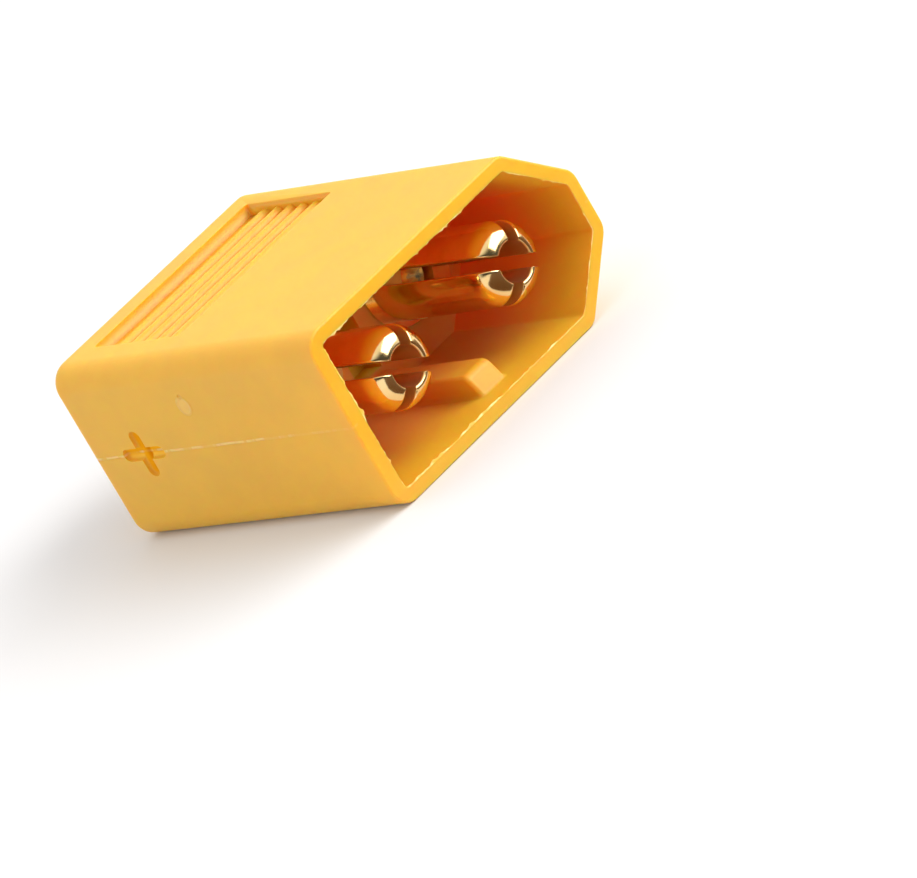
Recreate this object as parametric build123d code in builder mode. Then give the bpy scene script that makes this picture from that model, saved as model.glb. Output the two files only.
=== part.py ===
"""A two-pole power connector plug: a moulded shroud around two turned bullet contacts.

Lengths are in millimetres. The plug lies on its large lower face, z = 0. Its opening looks along -Y, the
square positive end is at -X and the end with the two cut corners at +X. The origin is at the bottom
centre of the whole piece, solder cups included.
"""
import os
from math import cos, radians, sin

from build123d import *

# Shroud, outside
shell_width = 15.8
shell_height = 8.1
shell_length = 16.0
corner_cut_x = 2.9
corner_cut_z = 2.7
square_end_round = 1.0
cut_corner_round = 0.8
back_edge_round = 0.5
rim_edge_round = 0.12

# Shroud, inside
wall = 0.6
square_end_wall = 0.7
cavity_depth = 7.8
cavity_draft = 0.4
cavity_corner_round = 0.25

# Key rib on the lower wall, and the slot in the cavity floor for the mate's key
rib_width = 1.5
rib_height = 1.0
rib_setback = 1.15
rib_nose = 0.45
rib_nose_round = 0.45
rib_foot_round = 0.2
rib_edge_round = 0.18
key_slot_width = 1.5
key_slot_height = 4.6
key_slot_depth = 1.1

# Sunken grip panel on each large face, with half-round ribs
panel_length = 10.1
panel_width = 5.35
panel_depth = 0.55
panel_end_margin = 1.85
panel_back_margin = 1.45
panel_corner_round = 0.15
grip_ribs = 6
grip_pitch = 0.8
grip_radius = 0.26
grip_back_gap = 0.95

# Bullet contacts: slit and bored tip, collar inside the moulding, solder cup behind
contact_pitch = 7.2
pin_radius = 1.75
pin_setback = 0.5
tip_round = 1.1
tip_bore_radius = 0.86
tip_bore_depth = 6.6
tip_bore_lip = 0.08
slit_width = 0.55
slit_depth = 6.0
slit_turn = -30
collar_radius = 2.45
collar_length = 1.4
collar_from_back = 5.2
cup_radius = 2.0
cup_bore_radius = 1.55
cup_bore_depth = 3.0
cup_reach = 4.1
cup_full_round = 0.9
cup_open_slope = 1.3
cup_open_inset = 0.3
cup_end_round = 0.5
drill_cone = 0.5
moulded_gap = 0.02

# Planes and places that follow from those sizes
front_y = -(shell_length + cup_reach) / 2
back_y = front_y + shell_length
floor_y = front_y + cavity_depth
end_y = back_y + cup_reach
tip_y = front_y + pin_setback
collar_y = back_y - collar_from_back
mid_z = shell_height / 2
half_width = shell_width / 2

# The shroud's D shape, X across and Z up
d_corners = [
    (-half_width, 0),
    (half_width - corner_cut_x, 0),
    (half_width, corner_cut_z),
    (half_width, shell_height - corner_cut_z),
    (half_width - corner_cut_x, shell_height),
    (-half_width, shell_height),
]


def body_steps(gap):
    """Stations of a contact behind the cavity floor, (y, radius), each radius opened by the gap.

    The two end faces of the collar stay where they are, so the collar is held fast along the axis.
    """
    return [
        (floor_y, cup_radius + gap),
        (collar_y, cup_radius + gap),
        (collar_y, collar_radius + gap),
        (collar_y + collar_length, collar_radius + gap),
        (collar_y + collar_length, cup_radius + gap),
        (end_y, cup_radius + gap),
        (end_y, 0),
    ]


def contact_plane(x):
    """Plane through a contact's axis. Its first direction runs back along +Y, and its second is the radius
    down the middle of a spring leaf, so that the seam of the turned faces lies clear of the slits."""
    turn = radians(slit_turn + 45)
    return Plane(origin=(x, 0, mid_z), x_dir=(0, 1, 0), z_dir=(sin(turn), 0, -cos(turn)))


def contact_axis(x):
    return Axis((x, 0, mid_z), (0, 1, 0))


contact_x = {"positive_contact": -contact_pitch / 2, "negative_contact": contact_pitch / 2}

# Housing: one moulding
with BuildPart() as housing:
    with BuildSketch(Plane.XZ.offset(-back_y)) as outside:
        Polygon(*d_corners, align=None)
        fillet(outside.vertices().filter_by(lambda v: v.X < 0), radius=square_end_round)
        fillet(outside.vertices().filter_by(lambda v: v.X > 0), radius=cut_corner_round)
    extrude(amount=shell_length)
    fillet(housing.faces().sort_by(Axis.Y)[-1].edges(), radius=back_edge_round)
    fillet(housing.faces().sort_by(Axis.Y)[0].edges(), radius=rim_edge_round)

    # Cavity, drafted so that the core pulls out of the mould. The square end has a wall of its own.
    with BuildSketch(Plane.XZ.offset(-front_y)) as mouth:
        Polygon(*[(max(x, square_end_wall - wall - half_width), z) for x, z in d_corners], align=None)
        offset(amount=-wall, kind=Kind.INTERSECTION)
        fillet(mouth.vertices(), radius=cavity_corner_round)
    extrude(amount=-cavity_depth, taper=cavity_draft, mode=Mode.SUBTRACT)

    # Key rib, with a sloped nose a little inside the opening. Each round runs on along its tangent edges: the
    # crest's down the nose, and the foot's along both sides.
    crest_z = wall + rib_height
    rib_front_y = front_y + rib_setback
    with BuildSketch(Plane.YZ.offset(-rib_width / 2)):
        Polygon(
            (floor_y, wall / 2),
            (rib_front_y, wall / 2),
            (rib_front_y, wall),
            (rib_front_y + rib_nose, crest_z),
            (floor_y, crest_z),
            align=None,
        )
    extrude(amount=rib_width)
    crest_middle = (0, (rib_front_y + rib_nose + floor_y) / 2, crest_z)
    crest = housing.faces().sort_by_distance(crest_middle)[0]
    fillet(crest.edges().sort_by(Axis.Y)[0], radius=rib_nose_round)
    crest = housing.faces().sort_by_distance(crest_middle)[0]
    fillet(crest.edges().filter_by(Axis.Y), radius=rib_edge_round)
    nose_middle = (0, rib_front_y + rib_nose / 2, (wall + crest_z) / 2)
    nose = housing.faces().sort_by_distance(nose_middle)[0]
    fillet(nose.edges().sort_by(Axis.Z)[0], radius=rib_foot_round)

    # Slot in the cavity floor
    with BuildSketch(Plane.XZ.offset(-floor_y)):
        with Locations((0, mid_z)):
            Rectangle(key_slot_width, key_slot_height)
    extrude(amount=-key_slot_depth, mode=Mode.SUBTRACT)

    # Grip panels, the same on both large faces
    panel_x = -half_width + panel_end_margin
    panel_back_y = back_y - panel_back_margin
    grip_middle_y = panel_back_y - grip_back_gap - (grip_ribs - 1) * grip_pitch / 2
    for face_z, floor_z in ((0, panel_depth), (shell_height, shell_height - panel_depth)):
        with BuildSketch(Plane.XY.offset(face_z)):
            with Locations((panel_x + panel_length / 2, panel_back_y - panel_width / 2)):
                RectangleRounded(panel_length, panel_width, panel_corner_round)
        extrude(amount=floor_z - face_z, mode=Mode.SUBTRACT)
        with BuildSketch(Plane.YZ.offset(panel_x)):
            with Locations((grip_middle_y, floor_z)):
                with GridLocations(grip_pitch, grip_pitch, grip_ribs, 1):
                    Circle(grip_radius)
        extrude(amount=panel_length)

    # Pockets that the plastic forms around the contacts
    for x in contact_x.values():
        with BuildSketch(contact_plane(x)):
            Polygon((floor_y, 0), *body_steps(moulded_gap), align=None)
        revolve(axis=contact_axis(x), mode=Mode.SUBTRACT)

os.makedirs("parts", exist_ok=True)
housing.part.label = "housing"
export_step(housing.part, "parts/housing.step")

# Contacts: the same turned piece twice, each solder cup opening to its own side
for name, x in contact_x.items():
    outward = 1 if x > 0 else -1
    with BuildPart() as contact:
        with BuildSketch(contact_plane(x)):
            with BuildLine():
                Line((tip_y, 0), (tip_y, pin_radius - tip_round))
                RadiusArc((tip_y, pin_radius - tip_round), (tip_y + tip_round, pin_radius), tip_round)
                Polyline((tip_y + tip_round, pin_radius), (floor_y, pin_radius), *body_steps(0), (tip_y, 0))
            make_face()
        revolve(axis=contact_axis(x))

        # Bore in the tip, drilled, with a broken edge
        with BuildSketch(contact_plane(x)):
            Polygon(
                (tip_y, 0),
                (tip_y, tip_bore_radius + 2 * tip_bore_lip),
                (tip_y + 2 * tip_bore_lip, tip_bore_radius),
                (tip_y + tip_bore_depth, tip_bore_radius),
                (tip_y + tip_bore_depth + drill_cone, 0),
                align=None,
            )
        revolve(axis=contact_axis(x), mode=Mode.SUBTRACT)

        # Two crossed slits that leave four springy leaves
        with BuildSketch(Plane.XZ.offset(-tip_y)):
            with Locations((x, mid_z)):
                Rectangle(3 * pin_radius, slit_width, rotation=slit_turn)
                Rectangle(3 * pin_radius, slit_width, rotation=slit_turn + 90)
        extrude(amount=-slit_depth, mode=Mode.SUBTRACT)

        # Solder cup: drilled from behind, its outer side cut away down a slope, its corners rounded
        with BuildSketch(contact_plane(x)):
            Polygon(
                (end_y, 0),
                (end_y, cup_bore_radius),
                (back_y - cup_bore_depth, cup_bore_radius),
                (back_y - cup_bore_depth - drill_cone, 0),
                align=None,
            )
        revolve(axis=contact_axis(x), mode=Mode.SUBTRACT)
        side_x = x + outward * 2 * cup_radius
        trough_x = x - outward * cup_open_inset
        slope_y = back_y + cup_full_round
        with BuildSketch(Plane.XY.offset(mid_z)):
            Polygon(
                (x + outward * cup_radius, slope_y),
                (trough_x, slope_y + cup_open_slope),
                (trough_x, end_y + cup_radius),
                (side_x, end_y + cup_radius),
                (side_x, slope_y),
                align=None,
            )
        extrude(amount=2 * cup_radius, both=True, mode=Mode.SUBTRACT)
        with BuildSketch(Plane.YZ.offset(x)):
            with Locations((end_y, mid_z)):
                Rectangle(2 * cup_end_round, 3 * cup_radius)
            with Locations((end_y - cup_reach / 2, mid_z)):
                RectangleRounded(cup_reach, 2 * cup_radius, cup_end_round, mode=Mode.SUBTRACT)
        extrude(amount=2 * cup_radius, both=True, mode=Mode.SUBTRACT)
    contact.part.label = name
    export_step(contact.part, f"parts/{name}.step")
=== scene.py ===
# %% [markdown]
# # Dressing a keyed power plug
#
# The real object is a plug about 20 mm long: one moulding of yellow-orange nylon, with two gold-plated
# bullet contacts standing in its D-shaped mouth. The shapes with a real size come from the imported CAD
# model, which is loaded here as a fixed frame in metres. What this script adds is what a mould and a
# plating bath leave behind: a satin skin, engraved signs, a parting line, thin flash and bright metal.

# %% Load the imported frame
import math

import bmesh
import bpy
import numpy as np
from mathutils import Matrix, Vector


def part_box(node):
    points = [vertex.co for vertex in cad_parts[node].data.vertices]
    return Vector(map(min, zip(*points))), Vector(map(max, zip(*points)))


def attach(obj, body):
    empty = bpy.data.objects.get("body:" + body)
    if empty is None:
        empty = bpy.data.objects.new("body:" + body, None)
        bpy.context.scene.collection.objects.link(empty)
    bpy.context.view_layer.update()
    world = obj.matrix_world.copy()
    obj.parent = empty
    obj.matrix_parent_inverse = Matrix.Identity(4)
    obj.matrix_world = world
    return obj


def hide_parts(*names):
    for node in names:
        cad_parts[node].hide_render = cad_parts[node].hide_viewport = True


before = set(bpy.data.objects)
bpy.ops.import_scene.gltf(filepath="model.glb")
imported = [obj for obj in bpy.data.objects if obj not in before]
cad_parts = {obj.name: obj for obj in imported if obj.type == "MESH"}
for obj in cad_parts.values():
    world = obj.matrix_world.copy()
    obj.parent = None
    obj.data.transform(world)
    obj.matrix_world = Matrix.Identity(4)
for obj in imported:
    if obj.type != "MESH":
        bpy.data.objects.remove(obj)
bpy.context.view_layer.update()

mm = 0.001
print("CAD nodes:", sorted(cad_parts))

# %% [markdown]
# ## The camera
#
# A product photograph of something this small is taken from far off with a long lens, so its parallel
# edges stay nearly parallel. The place, aim and roll below come from matching the corners of the shroud
# in the photograph, with a focal length of 10000 pixels on a picture 917 pixels wide. The camera comes
# first, because the lamps are placed by what the metal shows from there.

# %% Camera
picture_width = 917
focal_pixels = 10000
sensor_width = 36.0
heading = math.radians(37.417)
pitch_down = math.radians(19.296)
roll = math.radians(-30.308)

forward = Vector((math.sin(heading) * math.cos(pitch_down),
                  math.cos(heading) * math.cos(pitch_down),
                  -math.sin(pitch_down)))
level_right = Vector((math.cos(heading), -math.sin(heading), 0.0))
level_up = level_right.cross(forward)
right = math.cos(roll) * level_right + math.sin(roll) * level_up
up = math.cos(roll) * level_up - math.sin(roll) * level_right

lens = bpy.data.cameras.new("camera")
lens.lens = focal_pixels * sensor_width / picture_width
lens.sensor_width = sensor_width
lens.sensor_fit = "HORIZONTAL"
camera = bpy.data.objects.new("camera", lens)
camera_place = Vector((-226.939, -301.777, 129.209)) * mm
turn = Matrix((right, up, -forward)).transposed().to_4x4()
camera.matrix_world = Matrix.Translation(camera_place) @ turn
bpy.context.scene.collection.objects.link(camera)
bpy.context.scene.camera = camera
bpy.context.scene.view_settings.view_transform = "Standard"
print("focal length", round(lens.lens, 1), "mm")

# %% [markdown]
# ## Writing shader maths as expressions
#
# A finish is a formula over the surface: where the groove of a sign lies, how broken a line is. It could
# be wired by hand, node by node, but a formula is easier to read as one. So a small class wraps a socket
# and gives it Python's operators, each of which adds one Math node, and a second class keeps a node tree
# and makes every other kind of node in one way: settings first, then sockets.

# %% Sockets with arithmetic
def calculate(operation, *terms):
    """One Math node over the terms, which are wires or plain numbers; at least one is a wire."""
    tree = next(term.socket.id_data for term in terms if isinstance(term, Wire))
    node = tree.nodes.new("ShaderNodeMath")
    node.operation = operation
    for place, term in zip(node.inputs, terms):
        if isinstance(term, Wire):
            tree.links.new(term.socket, place)
        else:
            place.default_value = term
    return Wire(node.outputs[0])


class Wire:
    """An output socket that takes part in arithmetic."""

    def __init__(self, socket):
        self.socket = socket

    def __add__(self, other):
        return calculate("ADD", self, other)

    def __radd__(self, other):
        return calculate("ADD", other, self)

    def __sub__(self, other):
        return calculate("SUBTRACT", self, other)

    def __rsub__(self, other):
        return calculate("SUBTRACT", other, self)

    def __mul__(self, other):
        return calculate("MULTIPLY", self, other)

    def __rmul__(self, other):
        return calculate("MULTIPLY", other, self)

    def __truediv__(self, other):
        return calculate("DIVIDE", self, other)

    def __pow__(self, other):
        return calculate("POWER", self, other)

    def __abs__(self):
        return calculate("ABSOLUTE", self)


def lower_of(first, second):
    """The lower of two values at each place."""
    return calculate("MINIMUM", first, second)


def higher_of(first, second):
    """The higher of two values at each place."""
    return calculate("MAXIMUM", first, second)


# %% A bench for nodes
class Bench:
    """The node tree of a material, a lamp or the world, emptied and ready for new nodes."""

    def __init__(self, owner):
        owner.use_nodes = True
        self.tree = owner.node_tree
        self.tree.nodes.clear()

    def add(self, kind, settings=None, sockets=None, output=0):
        """A node of that kind. Its settings are set first, then the values or wires of its sockets.

        Sockets are named, or numbered where a node repeats a name. Returns the output asked for, or a
        list where several are asked for.
        """
        node = self.tree.nodes.new(kind)
        for name, value in (settings or {}).items():
            setattr(node, name, value)
        for name, value in (sockets or {}).items():
            if isinstance(value, Wire):
                self.tree.links.new(value.socket, node.inputs[name])
            else:
                node.inputs[name].default_value = value
        if isinstance(output, (list, tuple)):
            return [Wire(node.outputs[name]) for name in output]
        return Wire(node.outputs[output]) if len(node.outputs) else node

    def ramp(self, value, low, high):
        """A smooth step: 0 below low and 1 above high."""
        return self.add("ShaderNodeMapRange", {"interpolation_type": "SMOOTHSTEP"},
                        {"Value": value, "From Min": low, "From Max": high})

    def tint(self, share, first, second):
        """The first colour where share is 0 and the second where it is 1."""
        return self.add("ShaderNodeMix", {"data_type": "RGBA"}, {0: share, 6: first, 7: second}, output=2)

    def noise(self, place, scale, detail=2.0, roughness=0.5):
        """Cloudy noise from 0 to 1 with that many features per unit of the place."""
        return self.add("ShaderNodeTexNoise", None,
                        {"Vector": place, "Scale": scale, "Detail": detail, "Roughness": roughness},
                        output="Fac")

    def stretch(self, place, x, y, z):
        """The place scaled by its own factor along each axis."""
        return self.add("ShaderNodeVectorMath", {"operation": "MULTIPLY"}, {0: place, 1: (x, y, z)})


print("bench ready")

# %% [markdown]
# ## Light
#
# In the photograph the ground is white and the shadow soft and lilac-grey, down to the left. The white
# patches on the gold say where the lamp is: a wide softbox in front of the mouth and to its right, from
# a quarter to over halfway up. Around it the studio is pale, except behind the camera, which is what gives
# polished metal its dark bands. So the world is a plain dome whose quarter behind the camera is dim for the
# plastic and nearly black for the metal. One large area lamp does the rest.

# %% The pale room
room = bpy.data.worlds.new("pale_room")
bpy.context.scene.world = room
air = Bench(room)
dome_level, quarter_for_gloss, quarter_for_matt = 1.02, 0.93, 0.62
seen, shiny = air.add("ShaderNodeLightPath", output=["Is Camera Ray", "Is Glossy Ray"])
gaze = air.add("ShaderNodeTexCoord", output="Generated")
gaze_x, gaze_y, gaze_z = air.add("ShaderNodeSeparateXYZ", None, {0: gaze}, output=["X", "Y", "Z"])
toward_front = gaze_x * -0.34 + gaze_y * -0.94
dark_quarter = air.ramp(toward_front, 0.40, 0.75) * (1 - air.ramp(gaze_z, 0.60, 0.85))
studio = (shiny * (1 - quarter_for_gloss * dark_quarter)
          + (1 - shiny) * dome_level * (1 - quarter_for_matt * dark_quarter))
level = seen + (1 - seen) * studio
air.add("ShaderNodeOutputWorld", None,
        {"Surface": air.add("ShaderNodeBackground", None,
                            {"Color": (1.0, 1.0, 1.0, 1.0), "Strength": level})})
print("dome level", dome_level)

# %% The softbox
def aim(obj, place, target):
    """Puts a lamp at a place, in mm, with its face turned to a target, in mm."""
    place, target = Vector(place) * mm, Vector(target) * mm
    obj.matrix_world = (Matrix.Translation(place)
                        @ (target - place).to_track_quat("-Z", "Y").to_matrix().to_4x4())
    bpy.context.scene.collection.objects.link(obj)


softbox_width, softbox_height, softbox_distance = 520.0, 250.0, 430.0
softbox_radiance = 3.2
softbox = bpy.data.lights.new("softbox", "AREA")
softbox.shape = "RECTANGLE"
softbox.size, softbox.size_y = softbox_width * mm, softbox_height * mm
softbox.energy = 4 * softbox_radiance * softbox.size * softbox.size_y
softbox.color = (1.0, 0.985, 0.96)
bearing, height = math.radians(42), math.radians(38)
lamp_way = Vector((math.sin(bearing) * math.cos(height), -math.cos(bearing) * math.cos(height),
                   math.sin(height)))
aim(bpy.data.objects.new("softbox", softbox), lamp_way * softbox_distance, (0, 0, 4))
print("softbox energy", round(softbox.energy, 2), "W")

# %% [markdown]
# ## The floor
#
# The floor is matt white paper. Lit paper is never quite as bright as a photograph's blown-out ground, so
# for the camera it also glows a little, which lifts it to white and keeps the shadow. It lies a few
# thousandths of a millimetre under the plug, because two faces in one plane would flicker.

# %% Floor
def flat_sheet(name, corners, faces, finish):
    """A flat-faced mesh object at the origin, from corner places in mm and lists of corner numbers."""
    mesh = bpy.data.meshes.new(name)
    mesh.from_pydata((np.asarray(corners, float) * mm).tolist(), [], faces)
    mesh.validate()
    mesh.materials.append(finish)
    mesh.update()
    obj = bpy.data.objects.new(name, mesh)
    bpy.context.scene.collection.objects.link(obj)
    return obj


paper = bpy.data.materials.new("white_paper")
sheet = Bench(paper)
seen_floor = sheet.add("ShaderNodeLightPath", output="Is Camera Ray")
floor_glow = 0.03
matte = sheet.add("ShaderNodeBsdfPrincipled", None,
                  {"Base Color": (0.80, 0.795, 0.80, 1.0), "Roughness": 0.9, "Specular IOR Level": 0.0,
                   "Emission Color": (1.0, 0.995, 1.0, 1.0), "Emission Strength": seen_floor * floor_glow})
sheet.add("ShaderNodeOutputMaterial", None, {"Surface": matte})
reach = 1500.0
under = -0.004
floor = flat_sheet("floor", [(-reach, -reach, under), (reach, -reach, under), (reach, reach, under),
                             (-reach, reach, under)], [(0, 1, 2, 3)], paper)
print("floor", 2 * reach / 1000, "m square")

# %% [markdown]
# Polished metal needs something dark to look polished. Photographers lay a dark card beside the object,
# just out of frame. Here the card lies in front of the mouth, and only reflections can see it.

# %% Dark card
card_paper = bpy.data.materials.new("brown_card")
card_sheet = Bench(card_paper)
card_sheet.add("ShaderNodeOutputMaterial", None,
               {"Surface": card_sheet.add("ShaderNodeBsdfPrincipled", None,
                                          {"Base Color": (0.10, 0.045, 0.015, 1.0), "Roughness": 0.9})})
card_height = 0.03
card_outline = [(-9.0, -15.2), (-6.4, -12.9), (-3.0, -11.7), (8.0, -11.7), (75.0, -26.0), (220.0, -700.0),
                (-420.0, -700.0)]
card = flat_sheet("dark_card", [(x, y, card_height) for x, y in card_outline],
                  [tuple(reversed(range(len(card_outline))))], card_paper)
card.visible_camera = card.visible_diffuse = card.visible_shadow = card.visible_transmission = False
print("card laid in front of the mouth")

# %% [markdown]
# ## Moulded nylon
#
# The shroud is glass-smooth in the tool but comes out satin: a fine grain, slow sink waves, hair
# scratches. Its colour lives in the plastic, which passes a little light: red goes deepest, so the walls
# glow, which a little subsurface does. Masks on depth add painted shade: the cavity is painted a deeper
# orange-red where light only gets in by bouncing, and the valleys of the grip panel a deeper orange than
# its ribs. The finish works in millimetres on Object coordinates, so every mark has its true size. The
# engraved signs are matt inside, with painted light and shade on their walls, the broken line at mid
# height is where the two halves of the mould met, and the small pad is where the nylon was let in.

# %% Measures on the shroud
shell_low, shell_high = (np.array(c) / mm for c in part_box("housing"))
middle_z = (shell_low[2] + shell_high[2]) / 2
back_face = shell_high[1]
end_reach = shell_high[0] - 0.3
corner_cut_x, corner_cut_z = 2.9, 2.7
cavity_floor = -2.25
panel_low, panel_high = (-6.05, -0.85), (4.05, 4.50)
sign_y, sign_depth = 2.68, 0.22
run_half_length, run_half_width = 1.26, 0.29
upright_half_length, upright_half_width = 1.08, 0.31
print("shroud from", shell_low.round(2), "to", shell_high.round(2), "mm")
print("parting line at z =", round(middle_z, 2))

# %% Nylon finish
nylon = bpy.data.materials.new("moulded_nylon")
skin = Bench(nylon)
place = skin.add("ShaderNodeVectorMath", {"operation": "SCALE"},
                 {0: skin.add("ShaderNodeTexCoord", output="Object"), "Scale": 1 / mm})
x, y, z = skin.add("ShaderNodeSeparateXYZ", None, {0: place}, output=["X", "Y", "Z"])


def stroke(across, along, half_length, half_width):
    """Distance in mm to a straight stroke with round ends: the run past its end and the way off its line
    are combined as the two sides of a right triangle, less half the stroke's width."""
    run = higher_of(abs(along) - (half_length - half_width), 0.0)
    return (run * run + across * across) ** 0.5 - half_width


plus_end = calculate("LESS_THAN", x, -end_reach)
minus_end = calculate("GREATER_THAN", x, end_reach)
lengthwise = stroke(z - middle_z, y - sign_y, run_half_length, run_half_width)
upright = stroke(y - sign_y, z - middle_z, upright_half_length, upright_half_width)
in_length = (plus_end + minus_end) * (1 - skin.ramp(lengthwise, -0.12, 0.01))
in_upright = plus_end * (1 - skin.ramp(upright, -0.12, 0.01))
engraved = higher_of(in_length, in_upright)

line_breaks = skin.ramp(skin.noise(skin.stretch(place, 1.0, 1.0, 0.2), 1.3, 3.0, 0.6), 0.44, 0.56)
outer_side = higher_of(higher_of(plus_end, minus_end), calculate("GREATER_THAN", y, back_face - 0.02))
off_line = abs(z - middle_z + 0.05 * (skin.noise(place, 0.8) - 0.5))
parting = outer_side * (1 - skin.ramp(off_line, 0.03, 0.075)) * (0.25 + 0.75 * line_breaks)
fade = 0.25 + 0.75 * skin.ramp(y, -8.5, -4.0)

gate_y, gate_z, pit_y, pit_z = -1.25, 5.97, -1.30, 6.40
gate_range = ((y - gate_y) ** 2.0 + ((z - gate_z) * 0.85) ** 2.0) ** 0.5
gate_pad = plus_end * (1 - skin.ramp(gate_range, 0.26, 0.36))
gate_rim = plus_end * (1 - skin.ramp(abs(gate_range - 0.33), 0.02, 0.08))
gate_pit = plus_end * (1 - skin.ramp(((y - pit_y) ** 2.0 + (z - pit_z) ** 2.0) ** 0.5, 0.05, 0.13))

grain = skin.noise(place, 9.0, 3.0, 0.6) - 0.5
waves = skin.noise(place, 0.35, 1.0) - 0.5
hairlines = skin.ramp(skin.noise(skin.stretch(place, 14.0, 0.9, 14.0), 1.0, 2.0, 0.6), 0.62, 0.72)
height = (grain * 0.006 + waves * 0.05 + parting * fade * 0.035
          + gate_pad * 0.03 + gate_rim * 0.035 - gate_pit * 0.10 - hairlines * 0.0015)
relief = skin.add("ShaderNodeBump", None, {"Strength": 1.0, "Distance": mm, "Height": height})

# %% Nylon colours, with painted shade
# Painted shade: a deeper orange-red for the inner cavity, and a deeper orange for the sunken valleys of the
# grip panel.
cavity_shade_orange, panel_shade_orange = (0.95, 0.33, 0.07, 1.0), (0.84, 0.34, 0.008, 1.0)
pale_scar = (0.98, 0.70, 0.26, 1.0)
cloud = skin.ramp(skin.noise(place, 0.45, 3.0, 0.55), 0.3, 0.7)
outer = skin.tint(cloud, (0.80, 0.445, 0.019, 1.0), (0.84, 0.475, 0.023, 1.0))
from_face = (shell_high[2] - shell_low[2]) / 2 - abs(z - middle_z)
from_cut = (((shell_high[0] - x) * corner_cut_z + (from_face - corner_cut_z) * corner_cut_x)
            / math.hypot(corner_cut_z, corner_cut_x))
from_side = lower_of(lower_of(lower_of(x - shell_low[0], shell_high[0] - x), from_face), from_cut)
# Painted shade: inside the cavity the colour turns a deeper orange-red the further in it goes, where light
# only gets in by bouncing.
in_cavity = skin.ramp(from_side, 0.38, 0.56) * (1 - skin.ramp(y, cavity_floor - 0.05, cavity_floor + 0.25))
cavity_shade_depth = in_cavity * (0.05 + 0.95 * skin.ramp(y, shell_low[1] + 0.9, shell_low[1] + 5.2))
with_cavity_shade = skin.tint(cavity_shade_depth, outer, cavity_shade_orange)
lined = skin.tint(lower_of(parting * fade * 0.7 + gate_pad * 0.3 + gate_rim * 0.2, 1.0), with_cavity_shade, pale_scar)
# Painted light and shade in the engraved grooves: a lengthwise stroke is paler low down, as if lit, and
# deeper orange at the top, as if shadowed; the upright is darker on its side towards the mouth, as if
# shadowed, and lighter on its back side, as if lit.
groove_run_painted_light = skin.tint(skin.ramp(z - middle_z, -0.16, 0.02), (1.0, 0.56, 0.06, 1.0), (0.93, 0.42, 0.012, 1.0))
groove_upright_painted_shade = skin.tint(skin.ramp(sign_y - y, -0.16, 0.16), (0.92, 0.40, 0.008, 1.0), (0.72, 0.22, 0.001, 1.0))
groove_painted_shading = skin.tint(in_upright, groove_run_painted_light, groove_upright_painted_shade)
in_groove = engraved * (1 - 0.8 * parting * fade)
# Painted shade: the sunken valleys and walls of the grip panel are tinted a deeper orange.
from_edge = lower_of(lower_of(x - panel_low[0] + 0.1, panel_high[0] + 0.1 - x),
                     lower_of(y - panel_low[1] + 0.1, panel_high[1] + 0.1 - y))
panel_shade_mask = skin.ramp(from_edge, 0.0, 0.08) * skin.ramp(from_face, 0.34, 0.52)
panel_valley_shade = skin.tint(0.7 * panel_shade_mask, lined, panel_shade_orange)
satin = 0.44 + 0.06 * cloud + 0.05 * hairlines

# %% Nylon shaders
skin_shade = skin.add("ShaderNodeBsdfPrincipled", None,
                      {"Base Color": panel_valley_shade, "Roughness": satin, "IOR": 1.57, "Subsurface Weight": 1.0,
                       "Subsurface Radius": (1.0, 0.20, 0.05), "Subsurface Scale": 0.70 * mm,
                       "Normal": relief})
groove_shade = skin.add("ShaderNodeBsdfPrincipled", None,
                        {"Base Color": groove_painted_shading, "Roughness": 0.7, "Specular IOR Level": 0.0,
                         "Normal": relief})
skin.add("ShaderNodeOutputMaterial", None,
         {"Surface": skin.add("ShaderNodeMixShader", None, {0: in_groove, 1: skin_shade, 2: groove_shade})})
print("nylon nodes:", len(nylon.node_tree.nodes))

# %% [markdown]
# ## Gold plate
#
# The contacts are brass, turned and then plated. Plating keeps the fine rings that the lathe tool left,
# so the shine is bright but not quite a mirror. Tumbling can't reach the bore and the saw cuts, so they
# stay rougher than the dome. The finish finds them by the contact's own measures, which come first.

# %% Measures of a contact
pin_radius, bore_radius = 1.75, 0.86
dome_round, lip_round, edge_round = 1.1, 0.12, 0.07
saw_half, saw_depth, saw_turn = 0.275, 6.0, math.radians(-30)
drill_depth, drill_cone = 6.6, 0.5
cup_radius, cup_bore, cup_bore_depth = 2.0, 1.55, 3.0
cup_full, cup_slope, cup_inset, cup_corner = 0.9, 1.3, 0.3, 0.5
collar_radius, collar_start, collar_length = 2.45, 0.75, 1.4
cup_reach, axis_x = 4.1, 3.6
tip_y, cup_end = (corner[1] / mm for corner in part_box("positive_contact"))
axis_z = sum(corner[2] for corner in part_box("positive_contact")) / 2 / mm
print("contact from y =", round(tip_y, 3), "to", round(cup_end, 3), "mm, axis at z =", round(axis_z, 3))

# %% Gold finish
gold = bpy.data.materials.new("gold_plate")
bath = Bench(gold)
spot = bath.add("ShaderNodeVectorMath", {"operation": "SCALE"},
                {0: bath.add("ShaderNodeTexCoord", output="Object"), "Scale": 1 / mm})
spot_x, spot_y, spot_z = bath.add("ShaderNodeSeparateXYZ", None, {0: spot}, output=["X", "Y", "Z"])
off_axis, above_axis = spot_x - axis_x * calculate("SIGN", spot_x), spot_z - axis_z
from_axis = (off_axis * off_axis + above_axis * above_axis) ** 0.5
turn_cos, turn_sin = math.cos(saw_turn), math.sin(saw_turn)
from_saw = lower_of(abs(off_axis * turn_cos + above_axis * turn_sin),
                    abs(above_axis * turn_cos - off_axis * turn_sin))
plated = lower_of(bath.ramp(from_axis, bore_radius + 0.02, bore_radius + 0.08),
                  bath.ramp(from_saw, saw_half + 0.003, saw_half + 0.025))
tooled = (1 - bath.ramp(spot_y, -3.0, -2.8)) * (1 - plated)
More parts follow.
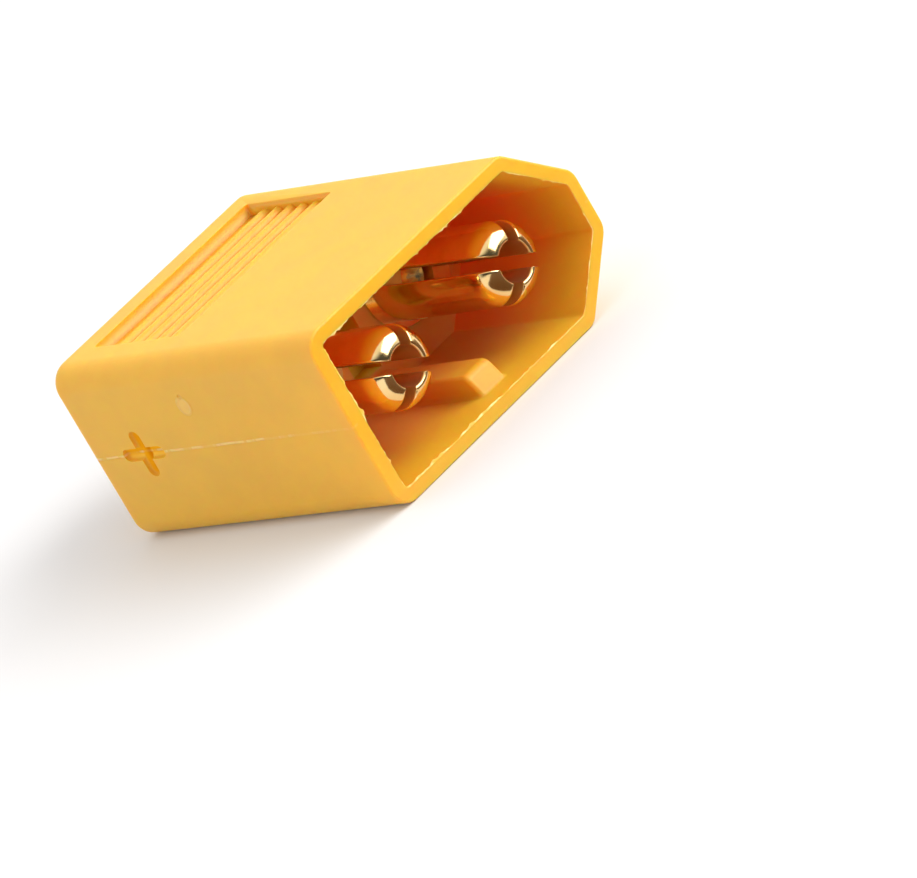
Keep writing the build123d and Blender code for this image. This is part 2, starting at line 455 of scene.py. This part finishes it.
rings = bath.noise(bath.stretch(spot, 0.6, 18.0, 0.6), 1.0, 2.0, 0.5) - 0.5
grit = bath.noise(spot, 14.0, 2.0, 0.6) - 0.5
tone = bath.tint(bath.ramp(bath.noise(spot, 1.1, 3.0, 0.6), 0.3, 0.7),
                 (0.92, 0.64, 0.27, 1.0), (0.97, 0.72, 0.36, 1.0))
turned_relief = bath.add("ShaderNodeBump", None,
                         {"Strength": 0.6, "Distance": mm, "Height": rings * 0.0003 + grit * 0.0008})
shine = bath.add("ShaderNodeBsdfPrincipled", None,
                 {"Base Color": tone, "Metallic": 1.0, "Roughness": 0.12 + 0.10 * abs(grit) + 0.26 * tooled,
                  "Normal": turned_relief})
bath.add("ShaderNodeOutputMaterial", None, {"Surface": shine})
for name in ("positive_contact", "negative_contact"):
    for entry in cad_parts[name].material_slots:
        entry.material = gold
print("gold nodes:", len(gold.node_tree.nodes))

# %% [markdown]
# ## Grids, and a solid made of them
#
# A turned or milled surface is a function of two numbers, such as how far along and how far round. Both
# can be laid out as numpy arrays, so a whole sheet of points comes from one formula, with no loop over
# vertices. A few such sheets share their borders, and merging the doubled border points closes them to a
# solid. Sharp edges are marked by their angle, so the rest shades smoothly.

# %% From grids of points to a closed mesh
def cells(rows, columns, wrap=False):
    """Corner numbers of every cell of a grid, counted row by row. A wrapped grid joins its last column to
    its first one."""
    row = np.arange(rows - 1)[:, None] * columns
    near = np.arange(columns if wrap else columns - 1)[None, :]
    far = (near + 1) % columns
    square = [row + near, row + far, row + columns + far, row + columns + near]
    return np.stack(square, axis=-1).reshape(-1, 4)


def welded(sheets, crease=35):
    """A closed mesh from several sheets, each an array of rows, columns and three numbers in mm.

    Doubled points are merged, faces turned outwards, and edges sharper than the crease, in degrees, kept.
    """
    corners = np.concatenate([sheet.reshape(-1, 3) for sheet in sheets]) * mm
    starts = np.cumsum([0] + [sheet.shape[0] * sheet.shape[1] for sheet in sheets[:-1]])
    faces = np.concatenate([cells(*sheet.shape[:2]) + start for sheet, start in zip(sheets, starts)])
    mesh = bpy.data.meshes.new("welded")
    mesh.from_pydata(corners.tolist(), [], faces.tolist())
    shell = bmesh.new()
    shell.from_mesh(mesh)
    bmesh.ops.remove_doubles(shell, verts=shell.verts, dist=2e-4 * mm)
    bmesh.ops.dissolve_degenerate(shell, edges=shell.edges, dist=1e-5 * mm)
    bmesh.ops.recalc_face_normals(shell, faces=shell.faces)
    open_edges = sum(not edge.is_manifold for edge in shell.edges)
    shell.to_mesh(mesh)
    shell.free()
    mesh.polygons.foreach_set("use_smooth", np.ones(len(mesh.polygons), bool))
    mesh.set_sharp_from_angle(angle=math.radians(crease))
    return mesh, open_edges


def assembled(name, meshes, finish, node=None):
    """One object at the origin out of several closed meshes, riding on the body, instead of a CAD node."""
    whole = bmesh.new()
    for mesh in meshes:
        whole.from_mesh(mesh)
    mesh = bpy.data.meshes.new(name)
    whole.to_mesh(mesh)
    whole.free()
    mesh.materials.append(finish)
    obj = bpy.data.objects.new(name, mesh)
    bpy.context.scene.collection.objects.link(obj)
    if node:
        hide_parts(node)
    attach(obj, "root")
    return obj


print("grid helpers ready")

# %% [markdown]
# ## The engraved signs
#
# A plus stands in one end of the shroud and a minus in the other, each stroke a shallow groove with round
# ends and a rounded bottom. Bump alone would look right from the front only, so the strokes are really cut:
# a copy of the shroud's mesh is merged to a closed shell, and small solids in the shape of the strokes are
# taken away from it. Triangles in one plane are joined first, and normals are then weighted by face area,
# which keeps the large faces flat beside their rounds.

# %% Solid for one stroke
def stroke_sheets(outward, lengthwise_run, half_length, half_width):
    """The skin of a stroke's cutter, standing in the end face that looks outward, -1 or 1, along x.

    Across the face it is a run with a half circle at each end. From the face down to the depth its half
    width shrinks by a quarter circle's drop, so the bottom is rounded, and above the face it goes straight.
    """
    bend_points = 15
    bend = np.linspace(-0.5, 0.5, bend_points) * math.pi
    angle = np.concatenate([bend, bend + math.pi])
    run = np.repeat([half_length - half_width, half_width - half_length], bend_points)
    angle, run = np.append(angle, angle[0]), np.append(run, run[0])
    share = np.array([-0.8, 0.0, 0.3, 0.6, 0.8, 0.93, 1.0])[:, None]
    narrowing = 1 - 0.55 * (1 - np.sqrt(1 - np.clip(share, 0, 1) ** 2))
    along = run + half_width * narrowing * np.cos(angle)
    across = half_width * narrowing * np.sin(angle)
    end_face = shell_high[0] if outward > 0 else shell_low[0]
    inward_x = end_face - outward * sign_depth * share + 0 * along
    first, second = (along, across) if lengthwise_run else (across, along)
    wall = np.stack([inward_x, sign_y + first, middle_z + second], axis=-1)
    middle = np.array([0, sign_y, middle_z])
    caps = [np.stack([middle + 0 * row + row * [1, 0, 0], row]) for row in (wall[0], wall[-1])]
    return [wall] + caps


strokes = [welded(stroke_sheets(*shape)) for shape in
           ((-1, True, run_half_length, run_half_width),
            (-1, False, upright_half_length, upright_half_width),
            (1, True, run_half_length, run_half_width))]
print("strokes:", len(strokes), "open edges:", sum(gap for _, gap in strokes))

# %% Shroud with its signs cut
closed = bmesh.new()
closed.from_mesh(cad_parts["housing"].data)
bmesh.ops.remove_doubles(closed, verts=closed.verts, dist=2e-4 * mm)
bmesh.ops.dissolve_limit(closed, angle_limit=math.radians(0.3), verts=closed.verts, edges=closed.edges)
merged = bpy.data.meshes.new("moulded_shroud")
closed.to_mesh(merged)
print("merged shell open edges:", sum(not edge.is_manifold for edge in closed.edges))
closed.free()
blank = bpy.data.objects.new("blank", merged)
bpy.context.scene.collection.objects.link(blank)
tools = []
for number, (stroke_mesh, _) in enumerate(strokes):
    tool = bpy.data.objects.new("stroke_%d" % number, stroke_mesh)
    bpy.context.scene.collection.objects.link(tool)
    cut = blank.modifiers.new("cut", "BOOLEAN")
    cut.operation, cut.solver, cut.object = "DIFFERENCE", "EXACT", tool
    tools.append(tool)
carved = bpy.data.meshes.new_from_object(blank.evaluated_get(bpy.context.evaluated_depsgraph_get()))
for tool in tools + [blank]:
    bpy.data.objects.remove(tool)
carved.materials.clear()
moulding = assembled("moulded_shroud", [carved], nylon, "housing")
shape = moulding.data
shape.polygons.foreach_set("use_smooth", np.ones(len(shape.polygons), bool))
shape.set_sharp_from_angle(angle=math.radians(28))
weighted = moulding.modifiers.new("weighted", "WEIGHTED_NORMAL")
weighted.keep_sharp, weighted.weight, weighted.mode = True, 100, "FACE_AREA"
check = bmesh.new()
check.from_mesh(shape)
open_edges = sum(not edge.is_manifold for edge in check.edges)
print("shroud faces:", len(shape.polygons), "open edges:", open_edges)
check.free()

# %% [markdown]
# ## Bullet contacts
#
# Each contact is turned from brass rod, drilled from the front, and sawn twice across, so that its tip
# springs as four leaves. The photograph shows what makes it read as metal: a dome rolled over into the
# bore, and saw cuts whose edges are broken by tumbling, so each one carries a hairline of light. The CAD
# node has the sizes but knife edges. So the contact is made again here, as four leaves, each a rounded
# quarter section carried along the pin, and one turned body with its milled solder cup.

# %% Profile of a leaf
def leaf_profile(stations=40):
    """Outer and inner outlines of a leaf, as depth behind the tip and radius, at the same stations.

    Both start at the foremost point of a small round nose. The outer one turns round the nose, then round
    the dome, then runs back straight. The inner one turns into the bore and runs back along it.
    """
    nose_points, dome_points, lip_points = 6, 21, 12
    nose_radius = bore_radius + lip_round
    swing = math.acos((nose_radius - pin_radius + dome_round) / (dome_round - lip_round))
    nose_depth = dome_round - (dome_round - lip_round) * math.sin(swing)
    share = np.linspace(0, 1, nose_points + 1)[:-1]
    nose = math.pi - share * (math.pi / 2 - swing)
    dome = math.pi / 2 + swing * (1 - np.linspace(0, 1, dome_points + 1)[:-1])
    back = np.linspace(0, 1, stations - nose_points - dome_points) ** 1.5
    outer = np.concatenate([
        np.stack([nose_depth + lip_round * np.cos(nose), nose_radius + lip_round * np.sin(nose)], -1),
        np.stack([dome_round + dome_round * np.cos(dome),
                  pin_radius - dome_round + dome_round * np.sin(dome)], -1),
        np.stack([dome_round + (saw_depth - dome_round) * back, np.full(back.shape, pin_radius)], -1)])
    lip = math.pi + np.linspace(0, 1, lip_points) * math.pi / 2
    along = np.linspace(0, 1, stations - lip_points + 1)[1:] ** 1.5
    inner = np.concatenate([
        np.stack([nose_depth + lip_round * np.cos(lip), nose_radius + lip_round * np.sin(lip)], -1),
        np.stack([nose_depth + (saw_depth - nose_depth) * along, np.full(along.shape, bore_radius)], -1)])
    return outer, inner


outer_line, inner_line = leaf_profile()
print("leaf stations:", len(outer_line), "nose at", round(float(outer_line[0, 0]), 3), "mm behind the tip")


# %% Section of a leaf, carried along
def leaf_sheets(quarter, centre_x):
    """The skin of one leaf, and the cap at its root, for a quarter from 0 to 3.

    In the plane across the pin, measured from the two saw cuts, a leaf is what is left between the bore
    circle and the outer circle, half a saw width away from each cut. Half of its outline runs from the
    middle of the outside, round a corner that touches the outer circle and the sawn face, over to a
    corner that touches the sawn face and the bore, and to the middle of the bore. The other half is its
    mirror image. Corners shrink where the leaf thins out at its nose.
    """
    (depth_out, big), (depth_in, small) = (line.T[:, :, None] for line in (outer_line, inner_line))
    wall = np.maximum(big - small, 1e-6)
    soft = np.minimum(edge_round, 0.4 * wall)
    reach_out = np.sqrt((big - soft) ** 2 - (saw_half + soft) ** 2)
    reach_in = np.sqrt((small + soft) ** 2 - (saw_half + soft) ** 2)
    low_out = np.arctan2(saw_half + soft, reach_out)
    low_in = np.arctan2(saw_half + soft, reach_in)
    arc, bend = np.linspace(0, 1, 13)[None, :], np.linspace(0, 1, 6)[None, 1:]
    swing_out = math.pi / 4 + (low_out - math.pi / 4) * arc
    turn_out = low_out + (-math.pi / 2 - low_out) * bend
    turn_in = -math.pi / 2 + (low_in - math.pi / 2) * np.linspace(0, 1, 6)[None, :-1]
    swing_in = low_in + (math.pi / 4 - low_in) * arc
    across = np.concatenate([big * np.cos(swing_out), reach_out + soft * np.cos(turn_out),
                             reach_in + soft * np.cos(turn_in), small * np.cos(swing_in)], axis=1)
    off_cut = np.concatenate([big * np.sin(swing_out), saw_half + soft + soft * np.sin(turn_out),
                              saw_half + soft + soft * np.sin(turn_in), small * np.sin(swing_in)], axis=1)
    share = np.clip((np.hypot(across, off_cut) - small) / wall, 0, 1)
    depth = depth_in + (depth_out - depth_in) * share
    half = across.shape[1] // 2

    def placed(first, second, depth):
        angle = saw_turn + quarter * math.pi / 2
        return np.stack([centre_x + first * math.cos(angle) - second * math.sin(angle),
                         tip_y + depth,
                         axis_z + first * math.sin(angle) + second * math.cos(angle)], axis=-1)

    skins = [placed(across, off_cut, depth), placed(off_cut, across, depth)]
    caps = [np.stack([skin[-1, :half], skin[-1, ::-1][:half]]) for skin in skins]
    return skins + caps


trial, gaps = welded(leaf_sheets(0, 0.0))
print("a leaf has", len(trial.polygons), "faces and", gaps, "open edges")


# %% Turned body and solder cup
def turned(outline, centre_x, spin):
    """A line of depth along y and radius, turned round the contact's axis."""
    y_line, radius = (np.asarray(column, float)[:, None] for column in zip(*outline))
    return np.stack([centre_x + radius * np.cos(spin), y_line + 0 * spin,
                     axis_z + radius * np.sin(spin)], axis=-1)


def cup_sheets(centre_x, outward, columns):
    """The solder cup behind the moulding, as an outer and an inner sheet and the edges between them.

    A cutter takes away all that lies further outward than a limit. The limit starts at the cup's radius,
    falls down a slope to a little past the axis, and stays there. At every depth the wall spans the angles
    where the circle lies inside that limit, and near the end the corners are drawn back to a round. Where
    the cutter has only shaved the outside, the cut ends in a groove over the bore, on the middle plane.
    """
    back = cup_end - cup_reach
    start, slope_start, level_start = back - cup_bore_depth, back + cup_full, back + cup_full + cup_slope
    breaks_in = math.sqrt((cup_radius - cup_bore) / (cup_radius + cup_inset))
    before, after = np.linspace(0, breaks_in, 12)[:-1], np.linspace(breaks_in, 1, 16)[:-1]
    slope_share = np.concatenate([before, after]) ** 2
    full_rows = 4
    y_line = np.concatenate([np.linspace(start, slope_start, full_rows + 1)[:-1],
                             slope_start + cup_slope * slope_share,
                             np.linspace(level_start, cup_end, 16)])[:, None]
    fallen = np.clip((y_line - slope_start) / cup_slope, 0, 1)
    limit = cup_radius - (cup_radius + cup_inset) * fallen
    turn = np.linspace(-1, 1, columns + 1)[None, :]
    base = 0.0 if outward > 0 else math.pi
    sheets = []
    for radius in (cup_radius, cup_bore):
        kept = math.pi - np.arccos(np.clip(limit / radius, -1, 1))
        angle = base + math.pi + turn * kept
        z = radius * np.sin(angle)
        corner = np.clip(np.abs(z) - (cup_radius - cup_corner), 0, cup_corner)
        drawn_back = cup_corner - np.sqrt(cup_corner ** 2 - corner ** 2)
        pull = np.clip((y_line - cup_end + 2 * cup_corner) / (2 * cup_corner), 0, 1)
        sheets.append(np.stack([centre_x + radius * np.cos(angle), y_line - pull * drawn_back,
                                axis_z + z], axis=-1))
    outside, inside = sheets
    groove = np.concatenate([centre_x + outward * limit, y_line, axis_z + 0 * limit], axis=1)
    edges = [np.where(limit > cup_bore, groove, inside[:, side])[full_rows:] for side in (0, -1)]
    return [outside, inside, np.stack([outside[-1], inside[-1]]),
            np.stack([outside[full_rows:, 0], edges[0]]), np.stack([outside[full_rows:, -1], edges[1]])]


def contact(name, node):
    """A whole contact in place of its CAD node: four leaves, the turned body and the cup."""
    low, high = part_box(node)
    centre_x = (low.x + high.x) / 2 / mm
    outward = 1 if centre_x > 0 else -1
    columns = 96
    base = 0.0 if outward > 0 else math.pi
    spin = base + np.linspace(0, 2 * math.pi, columns + 1)[None, :]
    root, cup_start = tip_y + saw_depth, cup_end - cup_reach - cup_bore_depth
    body = [(tip_y + drill_depth + drill_cone, 0), (tip_y + drill_depth, bore_radius), (root, bore_radius),
            (root, pin_radius), (cavity_floor, pin_radius), (cavity_floor, cup_radius),
            (collar_start, cup_radius), (collar_start, collar_radius),
            (collar_start + collar_length, collar_radius), (collar_start + collar_length, cup_radius),
            (cup_start, cup_radius)]
    bottom = [(cup_start, cup_bore), (cup_start - drill_cone, 0)]
    rear, rear_gaps = welded([turned(body, centre_x, spin), turned(bottom, centre_x, spin)]
                             + cup_sheets(centre_x, outward, columns))
    leaves = [welded(leaf_sheets(quarter, centre_x)) for quarter in range(4)]
    obj = assembled(name, [rear] + [leaf for leaf, _ in leaves], gold, node)
    print(name, "faces:", len(obj.data.polygons), "open edges:", rear_gaps + sum(gap for _, gap in leaves))


contact("positive_bullet", "positive_contact")
contact("negative_bullet", "negative_contact")

# %% [markdown]
# ## Flash round the mouth
#
# Where the core of the mould met its face, a film of nylon crept into the joint. It stands round the
# inside of the mouth as a ragged lip, a few hundredths thick, thin enough to look paler than the wall.
# A displaced edge would need a very fine mesh on the whole shroud, so the lip is its own ribbon: one small
# section carried round the mouth, with a width that seeded noise and a few chance nibs decide.

# %% Thin nylon
film = bpy.data.materials.new("nylon_film")
thin = Bench(film)
where = thin.add("ShaderNodeVectorMath", {"operation": "SCALE"},
                 {0: thin.add("ShaderNodeTexCoord", output="Object"), "Scale": 1 / mm})
pale = thin.tint(thin.ramp(thin.noise(where, 2.2, 2.0), 0.35, 0.65),
                 (0.90, 0.50, 0.04, 1.0), (1.0, 0.77, 0.28, 1.0))
film_relief = thin.add("ShaderNodeBump", None,
                       {"Strength": 0.5, "Distance": mm, "Height": thin.noise(where, 12.0, 2.0) * 0.02})
film_shade = thin.add("ShaderNodeBsdfPrincipled", None,
                      {"Base Color": pale, "Roughness": 0.35, "Normal": film_relief})
thin.add("ShaderNodeOutputMaterial", None, {"Surface": film_shade})
print("film nodes:", len(film.node_tree.nodes))

# %% Ribbon round the mouth
wall, square_end_extra, mouth_corner_round = 0.6, 0.1, 0.25
run_points = 158


def mouth_outline(inset, corner, steps=9):
    """Points and inward directions round the shroud's D shape, drawn in by the inset, its corners round.

    The wall of the square end is thicker than the rest by its extra. Every side of the D is moved inwards.
    Each corner where two moved sides meet is replaced by an arc that touches both, whose centre lies on the
    bisector, and the straight runs are divided evenly.
    """
    (x0, _, z0), (x1, _, z1) = shell_low, shell_high
    x0 = x0 + square_end_extra
    d_shape = np.array([(x0, z0), (x1 - corner_cut_x, z0), (x1, z0 + corner_cut_z), (x1, z1 - corner_cut_z),
                        (x1 - corner_cut_x, z1), (x0, z1)])
    side = np.roll(d_shape, -1, axis=0) - d_shape
    inward = np.stack([-side[:, 1], side[:, 0]], -1) / np.linalg.norm(side, axis=1)[:, None]
    before, after = np.roll(inward, 1, axis=0), inward
    miter = (before + after) / (1 + (before * after).sum(1))[:, None]
    centre = d_shape + miter * (inset + corner)
    first = np.arctan2(-before[:, 1], -before[:, 0])
    sweep = np.arccos(np.clip((before * after).sum(1), -1, 1))
    angle = first[:, None] + sweep[:, None] * np.linspace(0, 1, steps)[None, :]
    ray = np.stack([np.cos(angle), np.sin(angle)], -1)
    bends = centre[:, None, :] + corner * ray
    ends = np.roll(bends[:, 0], -1, axis=0)
    share = np.linspace(0, 1, run_points + 2)[None, 1:-1, None]
    runs = bends[:, -1][:, None, :] * (1 - share) + ends[:, None, :] * share
    run_ray = np.repeat(ray[:, -1][:, None, :], run_points, axis=1)
    points, outward = np.concatenate([bends, runs], axis=1), np.concatenate([ray, run_ray], axis=1)
    return points.reshape(-1, 2), -outward.reshape(-1, 2)


edge_line, inward_line = mouth_outline(wall, mouth_corner_round)
lengths = np.linalg.norm(np.roll(edge_line, -1, axis=0) - edge_line, axis=1)
travel = np.concatenate([[0], np.cumsum(lengths)[:-1]])
perimeter = float(lengths.sum())
print("mouth edge:", len(edge_line), "points,", round(perimeter, 1), "mm round")

# %% Ragged width
chance = np.random.default_rng(7)
wave_count, nib_count = 60, 34
waves_per_lap = chance.integers(4, 130, wave_count)[:, None]
starts = chance.uniform(0, 2 * math.pi, wave_count)[:, None]
strength = chance.uniform(0.1, 1.0, wave_count)[:, None] / waves_per_lap ** 0.7
ragged = (strength * np.sin(2 * math.pi * waves_per_lap * travel / perimeter + starts)).sum(0)
ragged /= np.abs(ragged).max()
nib_place = chance.uniform(0, perimeter, nib_count)[:, None]
nib_width = chance.uniform(0.05, 0.16, nib_count)[:, None]
nib_reach = chance.uniform(0.02, 0.12, nib_count)[:, None]
apart = np.abs((travel[None, :] - nib_place + perimeter / 2) % perimeter - perimeter / 2)
nibs = (nib_reach * np.exp(-apart / nib_width)).max(0)
leftward = np.clip(0.5 - edge_line[:, 0] / 8.0, 0, 1)
lip_reach = (0.012 + (0.03 + 0.07 * leftward) * np.clip(ragged + 0.25, 0, None)
             + nibs * (0.5 + 0.7 * leftward))
print("flash reaches", round(float(lip_reach.min()), 3), "to", round(float(lip_reach.max()), 3), "mm in")

# %% Flash
mouth_y = shell_low[1]
section_in = np.array([-0.06, 0.6, 1.0, 0.6, -0.06])[None, :]
section_back = np.array([0.004, 0.012, 0.03, 0.045, 0.075])[None, :]
reach_in_mm = np.where(section_in < 0, section_in, section_in * lip_reach[:, None])
curl = 0.02 * ragged[:, None] * np.clip(section_in, 0, 1)
ring = np.stack([edge_line[:, :1] + inward_line[:, :1] * reach_in_mm,
                 mouth_y + section_back + np.clip(curl, 0, None) + 0 * reach_in_mm,
                 edge_line[:, 1:] + inward_line[:, 1:] * reach_in_mm], axis=-1)
ring = np.concatenate([ring, ring[:1]], axis=0)
ring = np.concatenate([ring, ring[:, :1]], axis=1)
lip, lip_gaps = welded([ring], crease=60)
flash = assembled("mouth_flash", [lip], film)
print("flash faces:", len(flash.data.polygons), "open edges:", lip_gaps)
